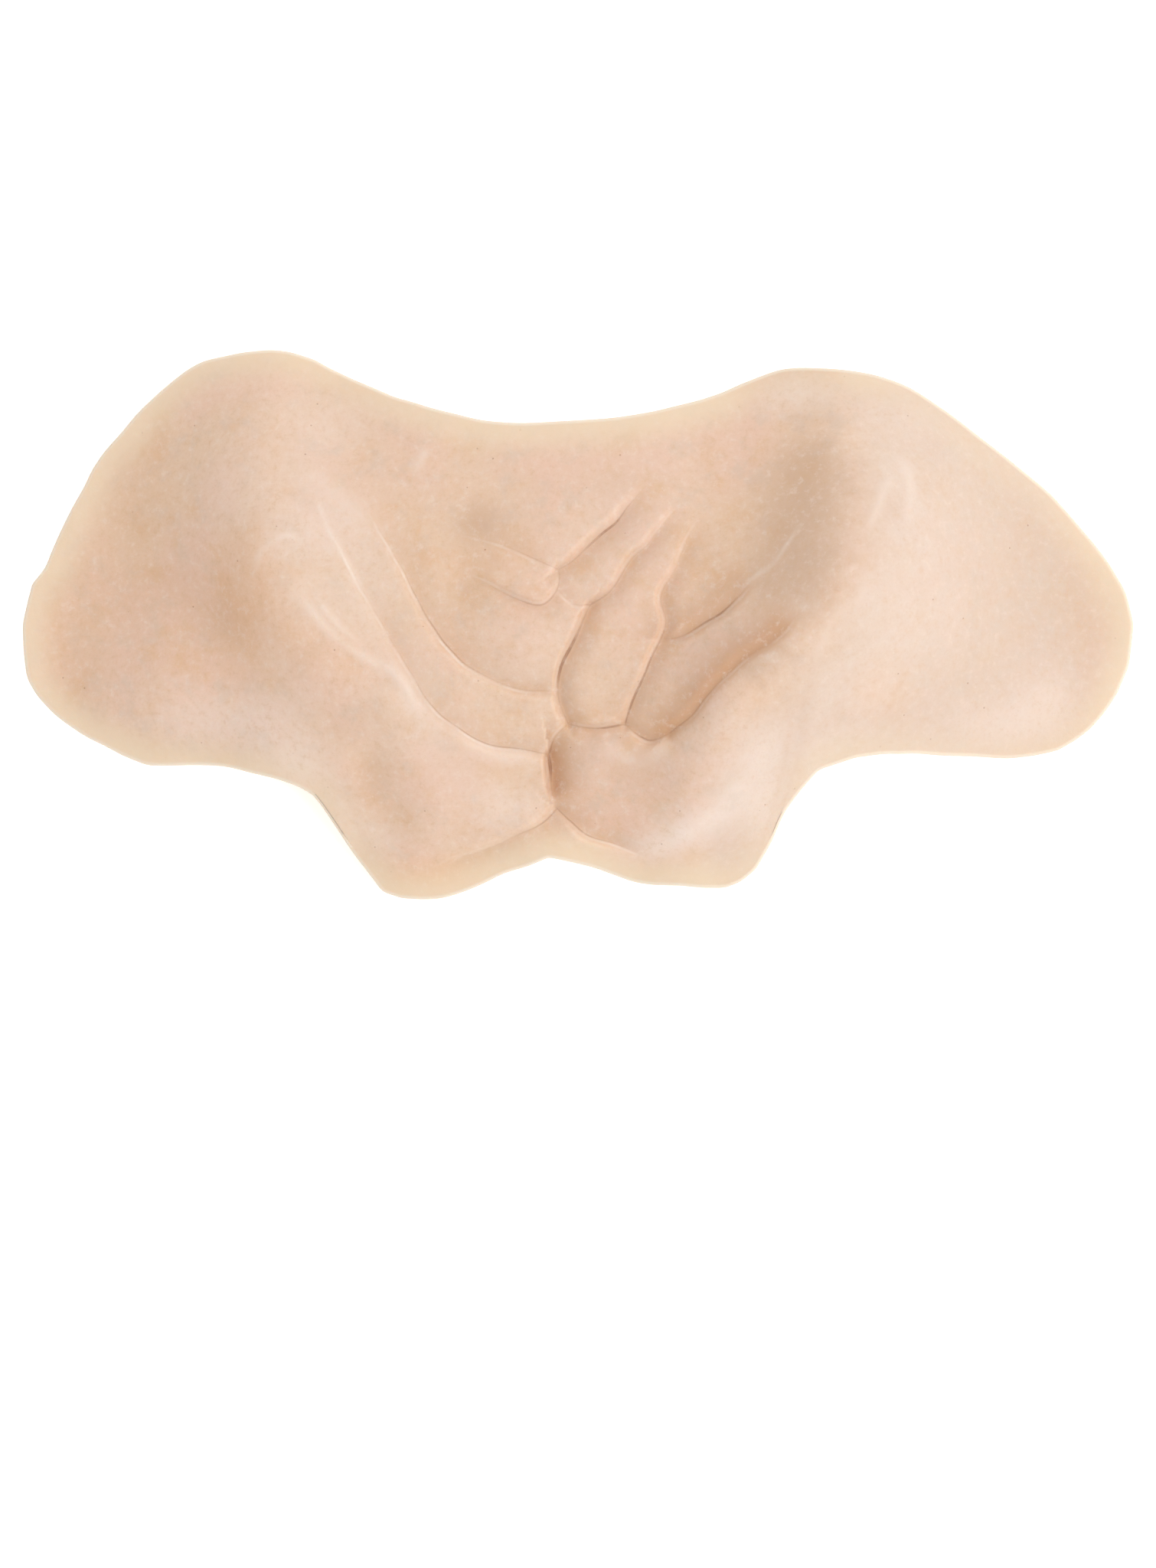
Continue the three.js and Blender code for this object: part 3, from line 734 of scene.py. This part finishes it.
right_tilt = soft_height(front_x - TILT_REACH, front_y) - soft_height(front_x + TILT_REACH, front_y)
keep("front", np.ones_like(front_x), 0.0, 1.0)
keep("rim_mm", front_rim, 0.0, 0.0)
keep("right_tilt", 0.5 * right_tilt / TILT_REACH, 0.0, 0.0)
keep("hollow_mm", spread(front_z, HOLLOW_REACH) - front_z, 0.0, 0.0)
keep("broad_hollow_mm", spread(front_z, BROAD_REACH) - front_z, 0.0, 0.0)
keep("ridge_powder_and_highlight", ridge_powder_and_highlight, 0.0, 0.0)
keep("fold_painted_shade", fold_painted_shade, 0.0, 0.0)
keep("painted_shade_and_light", painted_shade_and_light, 0.0, 0.0)
keep("glaze", glaze, 0.0, 0.0)
for index, (distance, dark, pale) in enumerate(fold_layers):
    keep("crease_%d" % index, distance, FAR_AWAY, FAR_AWAY)
    keep("dark_%d" % index, dark, 0.0, 0.0)
    keep("pale_%d" % index, pale, 0.0, 0.0)
print("attributes:", sum(not layer.is_internal for layer in skin_mesh.attributes))

# %% [markdown]
# ## Shader maths as plain expressions
#
# Node trees get long when every sum is placed by hand. One small class wraps a socket, so that
# `1 - mask * 0.5` adds the Math nodes by itself. Every other node comes from one method, which
# takes the node's type, its settings and the values or links of its sockets.

# %% A socket with arithmetic
class Wire:
    """An output socket in a node tree, or the bare tree when there is no socket yet."""

    def __init__(self, tree, socket=None):
        self.tree = tree
        self.socket = socket

    def node(self, kind, settings=None, sockets=None, out=0):
        made = self.tree.nodes.new(kind)
        for name, value in (settings or {}).items():
            setattr(made, name, value)
        self.feed(made, sockets or {})
        return Wire(self.tree, made.outputs[out] if made.outputs else None)

    def feed(self, node, sockets):
        """Links wires to a node's sockets, and sets the plain values there."""
        for name, value in sockets.items():
            if isinstance(value, Wire):
                self.tree.links.new(value.socket, node.inputs[name])
            else:
                node.inputs[name].default_value = value

    def math(self, operation, *values):
        return self.node("ShaderNodeMath", {"operation": operation}, dict(enumerate(values)))

    def __add__(self, other):
        return self.math("ADD", self, other)

    __radd__ = __add__

    def __mul__(self, other):
        return self.math("MULTIPLY", self, other)

    __rmul__ = __mul__

    def __sub__(self, other):
        return self.math("SUBTRACT", self, other)

    def __rsub__(self, other):
        return self.math("SUBTRACT", other, self)

    def __abs__(self):
        return self.math("ABSOLUTE", self)

    def ramp(self, low, high, start=0.0, end=1.0):
        """Eases from start to end while this value goes from low to high."""
        settings = {"interpolation_type": "SMOOTHSTEP"}
        sockets = {"Value": self, "From Min": low, "From Max": high, "To Min": start, "To Max": end}
        return self.node("ShaderNodeMapRange", settings, sockets)

    def most(self, other):
        return self.math("MAXIMUM", self, other)

    def mix(self, first, second, factor):
        """Two colours, the second laid over the first by a factor."""
        settings = {"data_type": "RGBA"}
        return self.node("ShaderNodeMix", settings, {0: factor, 6: first, 7: second}, out=2)


def attribute(tree, name):
    return tree.node("ShaderNodeAttribute", {"attribute_name": name}, out=2)


def speckle(tree, place, per_metre, detail, rough=0.5):
    """Soft noise between 0 and 1, with its scale given per metre."""
    sockets = {"Vector": place, "Scale": per_metre, "Detail": detail, "Roughness": rough}
    return tree.node("ShaderNodeTexNoise", None, sockets)


def dots(tree, place, per_metre, size):
    """Sparse round dots: 1 in the middle of a dot and 0 between the dots."""
    cells = tree.node("ShaderNodeTexVoronoi", None, {"Vector": place, "Scale": per_metre})
    return cells.ramp(size * 0.5, size, 1, 0)


def object_place(tree):
    """Object coordinates, which stay with the piece."""
    return tree.node("ShaderNodeTexCoord", out=3)


def new_finish(name):
    """An empty material with its tree and its surface shader."""
    material = bpy.data.materials.new(name)
    material.use_nodes = True
    return material, Wire(material.node_tree), material.node_tree.nodes["Principled BSDF"]


print("operators with a number first:", [name for name in vars(Wire) if name.startswith("__r")])

# %% [markdown]
# ## Painted and powdered latex
#
# The front is a flesh tone in thin coats: rosy, sandy and greyish patches a few millimetres wide,
# with a fine grain, small pimples and pits over them. The hollows get a darker painted shade. A
# pale bloom is painted on what leans to the right, towards the lamp: partly powder and partly
# painted light. More pale colour sits on the fold edges, as powder and painted highlight. The
# creases get a brown painted shade, and the thin rim, where light comes through, is painted yellow
# and bright as painted light. Every coat has a paint of its own, which is named once here.

# %% The paints
SAND = (0.672, 0.484, 0.354, 1)
ROSE = (0.682, 0.472, 0.364, 1)
GREY = (0.615, 0.46, 0.36, 1)
ORANGE = (0.645, 0.42, 0.265, 1)
# Painted shade for the broad hollows.
HOLLOW_PAINTED_SHADE = (0.56, 0.345, 0.205, 1)
# Powder and painted light on what leans to the right.
POWDER_AND_LIGHT_BLOOM = (0.57, 0.465, 0.39, 1)
# Brown of the patches of painted shade.
PAINTED_SHADE_BROWN = (0.535, 0.358, 0.246, 1)
ORANGE_GLAZE = (0.68, 0.40, 0.225, 1)
FLECK_DARK = (0.57, 0.37, 0.225, 1)
# Pale powder, also used as painted light in pale patches and on what stands out.
POWDER_AND_PAINTED_LIGHT = (0.73, 0.605, 0.525, 1)
# Pale chalk of the pimples, and of the powder and painted highlight on edges and ridges.
CHALK_AND_HIGHLIGHT = (0.83, 0.77, 0.725, 1)
CREASE_BROWN = (0.24, 0.095, 0.045, 1)
# Brown of the painted shade in hollows and beside creases.
SHADE_BROWN = (0.51, 0.28, 0.155, 1)
# Painted light: the yellow glow of the thin rim, where light comes through.
RIM_PAINTED_GLOW = (0.705, 0.58, 0.425, 1)
# The pale cut edge, partly its own colour and partly painted light through it.
RIM_EDGE_CUT_AND_GLOW = (0.74, 0.66, 0.56, 1)
print("flesh tone between", SAND[:3], "and", ROSE[:3])

# %% [markdown]
# ## Clouds, grain and dots
#
# Nothing that is painted by hand is even. Five noises break up the coats, from clouds two
# centimetres wide to a grain finer than half a millimetre. Sparse dots are the pimples and pits
# that bubbles leave in a casting. Some patterns are shifted, or they would lie on each other.

# %% Noises and dots of the skin
PATTERN_SHIFT = (0.3, 0.1, 0.2)
# Columns: name, shifted or not, scale per metre, detail, roughness.
SKIN_NOISES = [
    ("clouds", False, 45, 2.0, 0.5),
    ("patch", False, 260, 5.0, 0.65),
    ("other", True, 170, 5.0, 0.65),
    ("grain", False, 2600, 3.0, 0.7),
    ("dust", True, 900, 4.0, 0.7),
]
# Columns: name, shifted or not, scale per metre, size of a dot as a share of its cell.
SKIN_DOTS = [
    ("pimples", False, 420, 0.075),
    ("pits", True, 300, 0.05),
]


def skin_patterns(tree):
    """The noises and dots of the skin, by name."""
    place = object_place(tree)
    shifted = tree.node("ShaderNodeMapping", None, {"Vector": place, "Location": PATTERN_SHIFT})
    patterns = {}
    for name, moved, per_metre, detail, rough in SKIN_NOISES:
        patterns[name] = speckle(tree, shifted if moved else place, per_metre, detail, rough)
    for name, moved, per_metre, size in SKIN_DOTS:
        patterns[name] = dots(tree, shifted if moved else place, per_metre, size)
    return patterns


print("patterns of the skin:", len(SKIN_NOISES) + len(SKIN_DOTS))

# %% [markdown]
# ## Hairlines and pale edges
#
# The stored distance runs on evenly between the points of the mesh, so a line much finer than a
# face can be drawn from it. The brown hairline lies where the distance is nearly nothing, and is
# wider where the crease is darker. The pale edge lies a third of a millimetre beside it, on one
# side only.

# %% Draw the crease lines
HAIRLINE = 0.13
LINE_SWELL = 0.11
PALE_OFFSET = 0.32
PALE_WIDTH = 0.3


def crease_lines(tree):
    """The brown hairline and the pale edge, the strongest of all the layers."""
    dark, pale = None, None
    for index in range(FOLD_LAYERS):
        distance = attribute(tree, "crease_%d" % index)
        strength = attribute(tree, "dark_%d" % index)
        line = strength * (abs(distance) - strength * LINE_SWELL).ramp(0, HAIRLINE, 1, 0)
        # The pale edge: partly powder, partly a painted highlight on the lit side.
        side = abs(distance - PALE_OFFSET).ramp(0, PALE_WIDTH, 1, 0)
        side = attribute(tree, "pale_%d" % index) * side
        dark = line if dark is None else dark.most(line)
        pale = side if pale is None else pale.most(side)
    return dark, pale


print("hairline: %.2f mm to each side" % HAIRLINE)

# %% [markdown]
# ## Coat over coat
#
# The colour is built from the first coat to the last, with painted shade and painted light laid in
# among the coats of paint. Each row of the list is a paint and how much of it covers what lies
# below. The order matters: powder and painted light lie over the patches of painted shade, the
# painted glow of the rim lies over all of them, and the hairlines come last.

# %% Lay the coats
def skin_color(tree, patterns, dark, pale):
    """The colour of the front, coat over coat."""
    patch, other, dust = (patterns[name] for name in ("patch", "other", "dust"))
    hollow, broad_hollow = attribute(tree, "hollow_mm"), attribute(tree, "broad_hollow_mm")
    rim_mm, right_tilt = attribute(tree, "rim_mm"), attribute(tree, "right_tilt")
    painted_shade_and_light = attribute(tree, "painted_shade_and_light")
    # Partly powder, partly painted light: paler where the front leans right, towards the lamp.
    powder_and_light_bloom = right_tilt.ramp(-0.1, 0.55) * patch.ramp(0.25, 0.7, 1, 0.6)
    crests = broad_hollow.ramp(0.2, -1.6) * patch.ramp(0.7, 0.3, 0.4, 1)
    flecks = right_tilt.ramp(-0.1, 0.4, 0.44, 0.3)
    lines = attribute(tree, "ridge_powder_and_highlight") * patch.ramp(0.35, 0.6, 0.4, 1)
    broken = dust.ramp(0.3, 0.6, 0.3, 0.7) * other.ramp(0.4, 0.6, 0.2, 1)
    # Painted light of the thin rim: a yellow band, less where it leans right and under pale
    # patches.
    rim_painted_glow = (rim_mm + patch * 1.5).ramp(1.0, 7.0, 0.8, 0)
    rim_painted_glow = rim_painted_glow * right_tilt.ramp(0.1, 0.6, 1, 0.4) * painted_shade_and_light.ramp(0, -0.5, 1, 0.5)
    coats = [
        (GREY, patch.ramp(0.48, 0.7) * 0.8),
        (ORANGE, other.ramp(0.48, 0.7) * 0.75),
        # Painted shade: darker in the broad hollows.
        (HOLLOW_PAINTED_SHADE, broad_hollow.ramp(0.1, 1.9) * 0.45),
        (POWDER_AND_LIGHT_BLOOM, powder_and_light_bloom * 0.85),
        (ORANGE_GLAZE, attribute(tree, "glaze")),
        # Patches of painted shade.
        (PAINTED_SHADE_BROWN, painted_shade_and_light.ramp(0, 1)),
        # Pale patches: partly powder, partly painted light.
        (POWDER_AND_PAINTED_LIGHT, painted_shade_and_light.ramp(0, -1)),
        # Paler on what stands out.
        (POWDER_AND_PAINTED_LIGHT, crests * 0.35),
        # Painted shade in narrow hollows.
        (SHADE_BROWN, hollow.ramp(0.03, 0.4) * 0.2),
        # Painted shade on the low side of each crease.
        (SHADE_BROWN, attribute(tree, "fold_painted_shade") * 0.8),
        (FLECK_DARK, dust.ramp(0.5, 0.75) * flecks),
        (POWDER_AND_PAINTED_LIGHT, dust.ramp(0.5, 0.25) * flecks),
        (FLECK_DARK, patterns["grain"].ramp(0.5, 0.8) * 0.3),
        (CHALK_AND_HIGHLIGHT, patterns["pimples"] * other.ramp(0.4, 0.65, 0.02, 0.15)),
        (CREASE_BROWN, patterns["pits"] * 0.4),
        # Ridges: pale powder and painted highlight.
        (CHALK_AND_HIGHLIGHT, lines * dust.ramp(0.3, 0.6, 0.5, 1)),
        # Fold edges: pale powder and painted highlight.
        (CHALK_AND_HIGHLIGHT, pale * broken),
        # Painted light of the thin rim: a yellow glow, and a pale cut edge that is partly its own
        # colour.
        (RIM_PAINTED_GLOW, rim_painted_glow),
        (RIM_EDGE_CUT_AND_GLOW, rim_mm.ramp(0.1, 0.7, 1, 0) * 0.6),
        (CREASE_BROWN, dark * 0.8),
    ]
    color = tree.mix(SAND, ROSE, patterns["clouds"].ramp(0.35, 0.65))
    for paint, cover in coats:
        color = tree.mix(color, paint, cover)
    return color


print("colour of the front: a base of two paints, and the coats over it")

# %% [markdown]
# ## Matte, grainy and a little soft
#
# Powdered latex is matte, and its grain is felt more than seen, so a weak bump carries it. Light
# goes a short way into latex and comes out warmer, and a little subsurface scattering gives that.

# %% The skin finish
SKIN_BUMP = 0.12 * MM
LIGHT_REACH = 1.6 * MM


def skin_finish():
    material, tree, shader = new_finish("painted_latex")
    patterns = skin_patterns(tree)
    dark, pale = crease_lines(tree)
    dark = dark * patterns["other"].ramp(0.35, 0.6, 0.5, 1)
    grain = patterns["grain"]
    height = grain * 0.5 + patterns["dust"] * 0.5 + patterns["pimples"] * 0.25
    height = height - patterns["pits"] * 1.2 - dark * 1.6
    sockets = {"Height": height, "Strength": 0.35, "Distance": SKIN_BUMP}
    tree.feed(shader, {
        "Base Color": skin_color(tree, patterns, dark, pale),
        "Roughness": 0.50 + grain * 0.14 + pale * 0.1,
        "Normal": tree.node("ShaderNodeBump", None, sockets),
        "Specular IOR Level": 0.25,
        "Subsurface Weight": 0.3,
        "Subsurface Radius": (1.0, 0.55, 0.3),
        "Subsurface Scale": LIGHT_REACH,
        "Sheen Weight": 0.06,
        "Sheen Roughness": 0.5,
    })
    return material


painted_latex = skin_finish()
print("finish:", painted_latex.name, len(painted_latex.node_tree.nodes), "nodes")

# %% [markdown]
# ## Bare latex inside
#
# Nobody paints the hollow side. It is raw latex: honey yellow, a little smoother than the front,
# with faint runs where the liquid was poured in and drained.

# %% The inside finish
HONEY = (0.70, 0.55, 0.36, 1)
HONEY_DARK = (0.60, 0.43, 0.25, 1)
RUN_STRETCH = (1.0, 0.25, 1.0)
RUN_BUMP = 0.3 * MM


def inside_finish():
    material, tree, shader = new_finish("bare_latex")
    place = object_place(tree)
    runs = tree.node("ShaderNodeMapping", None, {"Vector": place, "Scale": RUN_STRETCH})
    streak = speckle(tree, runs, 160, 3.0, 0.55)
    color = tree.mix(HONEY, HONEY_DARK, speckle(tree, place, 60, 3.0))
    sockets = {"Height": streak, "Strength": 0.3, "Distance": RUN_BUMP}
    tree.feed(shader, {
        "Base Color": tree.mix(color, HONEY_DARK, streak.ramp(0.5, 0.8) * 0.4),
        "Roughness": 0.45 + streak * 0.2,
        "Normal": tree.node("ShaderNodeBump", None, sockets),
        "Subsurface Weight": 0.2,
        "Subsurface Radius": (1.0, 0.6, 0.3),
        "Subsurface Scale": LIGHT_REACH,
    })
    return material


bare_latex = inside_finish()
print("finish:", bare_latex.name)

# %% [markdown]
# ## Lumps and grain of the casting
#
# A cast skin is never perfectly even: it has shallow lumps as wide as a fingertip and a fine
# leathery grain. Both follow the surface, so Geometry Nodes push the points along their normals
# with noise. The push fades out at the rim and is nothing on the back. The same tree gives the
# front and the back their finishes.

# %% Build the tree that roughens the casting
RIM_FADE_MM = 4.0


def casting_tree():
    tree = bpy.data.node_groups.new("casting_surface", "GeometryNodeTree")
    face = tree.interface
    face.new_socket("Geometry", in_out="INPUT", socket_type="NodeSocketGeometry")
    for name, value in (("Lump height", 0.0), ("Lumps per metre", 1.0),
                        ("Grain height", 0.0), ("Grains per metre", 1.0)):
        face.new_socket(name, in_out="INPUT", socket_type="NodeSocketFloat").default_value = value
    for name in ("Front finish", "Back finish"):
        face.new_socket(name, in_out="INPUT", socket_type="NodeSocketMaterial")
    face.new_socket("Geometry", in_out="OUTPUT", socket_type="NodeSocketGeometry")
    wire = Wire(tree)
    entry = tree.nodes.new("NodeGroupInput")
    given = {socket.name: Wire(tree, socket) for socket in entry.outputs if socket.name}

    def stored(name):
        return wire.node("GeometryNodeInputNamedAttribute", {"data_type": "FLOAT"}, {"Name": name})

    def push(per_metre, height, detail):
        noise = wire.node("ShaderNodeTexNoise", None, {"Scale": per_metre, "Detail": detail})
        return (noise - 0.5) * height

    lumps = push(given["Lumps per metre"], given["Lump height"], 1.0)
    grain = push(given["Grains per metre"], given["Grain height"], 2.0)
    front = stored("front")
    sockets = {"Value": stored("rim_mm"), "From Max": RIM_FADE_MM}
    inner = wire.node("ShaderNodeMapRange", None, sockets)
    size = (lumps + grain) * front * inner
    normal = wire.node("GeometryNodeInputNormal")
    offset = wire.node("ShaderNodeVectorMath", {"operation": "SCALE"}, {0: normal, "Scale": size})
    sockets = {"Geometry": given["Geometry"], "Offset": offset}
    moved = wire.node("GeometryNodeSetPosition", None, sockets)
    whole = wire.node("GeometryNodeRealizeInstances", None, {"Geometry": moved})
    behind = wire.node("FunctionNodeCompare", {"operation": "LESS_THAN"}, {"A": front, "B": 0.5})
    sockets = {"Geometry": whole, "Material": given["Front finish"]}
    dressed = wire.node("GeometryNodeSetMaterial", None, sockets)
    sockets = {"Geometry": dressed, "Selection": behind, "Material": given["Back finish"]}
    dressed = wire.node("GeometryNodeSetMaterial", None, sockets)
    wire.node("NodeGroupOutput", None, {"Geometry": dressed})
    return tree


def roughened(piece, settings):
    """Runs the tree on a piece and keeps the result as its plain mesh."""
    modifier = piece.modifiers.new("casting", "NODES")
    modifier.node_group = casting_tree()
    for item in modifier.node_group.interface.items_tree:
        if item.in_out == "INPUT" and item.name in settings:
            modifier[item.identifier] = settings[item.name]
    evaluated = piece.evaluated_get(bpy.context.evaluated_depsgraph_get())
    made = bpy.data.meshes.new_from_object(evaluated)
    piece.modifiers.remove(modifier)
    piece.data = made
    return made


roughened(skin, {
    "Lump height": 0.8 * MM, "Lumps per metre": 85.0,
    "Grain height": 0.06 * MM, "Grains per metre": 700.0,
    "Front finish": painted_latex, "Back finish": bare_latex,
})
skin.data.name = "latex_forehead_cast"
print("casting:", len(skin.data.polygons), "faces,", [m.name for m in skin.data.materials])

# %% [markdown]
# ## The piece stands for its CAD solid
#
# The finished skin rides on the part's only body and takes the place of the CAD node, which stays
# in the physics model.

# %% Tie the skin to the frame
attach(skin, "root")
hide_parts("forehead")
print("replaced: forehead")

# %% [markdown]
# ## Floor, light and camera
#
# The piece is seen straight from above on a white table. A wide lamp on the right models the brows,
# and a bright even sky fills the shadows, as in a light tent. A long lens keeps the outline true.

# %% Set the stage
FLOOR_SIZE = 6.0
FLOOR_WHITE = (0.93, 0.93, 0.925, 1)
FLOOR_GLOW = 0.5
FLOOR_ROUGHNESS = 0.9
SKY = 0.74
SKY_WHITE = (1.0, 0.995, 0.985, 1)
KEY_POWER = 185.0
KEY_SIZE = 3.6
KEY_PLACE = (2.8, 0.0, 4.4)

bpy.ops.mesh.primitive_plane_add(size=FLOOR_SIZE)
floor = bpy.context.object
floor.name = "table_top"
white, white_tree, white_shader = new_finish("white_table")
white_tree.feed(white_shader, {
    "Base Color": FLOOR_WHITE,
    "Roughness": FLOOR_ROUGHNESS,
    "Emission Color": FLOOR_WHITE,
    "Emission Strength": FLOOR_GLOW,
})
floor.data.materials.append(white)

world = bpy.data.worlds.new("light_tent")
world.use_nodes = True
background = world.node_tree.nodes["Background"]
Wire(world.node_tree).feed(background, {"Color": SKY_WHITE, "Strength": SKY})
bpy.context.scene.world = world

lamp = bpy.data.lights.new("key", "AREA")
lamp.shape = "DISK"
lamp.size = KEY_SIZE
lamp.energy = KEY_POWER
key = bpy.data.objects.new("key", lamp)
key.location = KEY_PLACE
key.rotation_euler = key.location.to_track_quat("Z", "Y").to_euler()
bpy.context.collection.objects.link(key)
bpy.context.scene.view_settings.view_transform = "Standard"
print("key lamp at", KEY_PLACE)

# %% [markdown]
# The photograph is an upright picture of 1510 by 2048 pixels with the piece in its upper half. The
# camera therefore stands over a place below the piece, at the height where the long lens takes in
# just that much of the table.

# %% Place the camera
PHOTO_SIZE = (1510, 2048)
PIECE_PIXELS = 1452
PIECE_CENTRE = (755.0, 815.5)
LENS = 150.0
SENSOR = 36.0
FOCUS_PLANE = 0.5 * MM

metres_per_pixel = (cad_box[1][0] - cad_box[0][0]) / PIECE_PIXELS
view_height = PHOTO_SIZE[1] * metres_per_pixel
camera_data = bpy.data.cameras.new("camera")
camera_data.sensor_fit = "VERTICAL"
camera_data.sensor_height = SENSOR
camera_data.lens = LENS
camera = bpy.data.objects.new("camera", camera_data)
camera.location = (
    (PHOTO_SIZE[0] / 2 - PIECE_CENTRE[0]) * metres_per_pixel,
    (PIECE_CENTRE[1] - PHOTO_SIZE[1] / 2) * metres_per_pixel,
    FOCUS_PLANE + view_height * LENS / SENSOR,
)
bpy.context.collection.objects.link(camera)
bpy.context.scene.camera = camera
print("camera %.2f m above the table" % camera.location.z)

# %% [markdown]
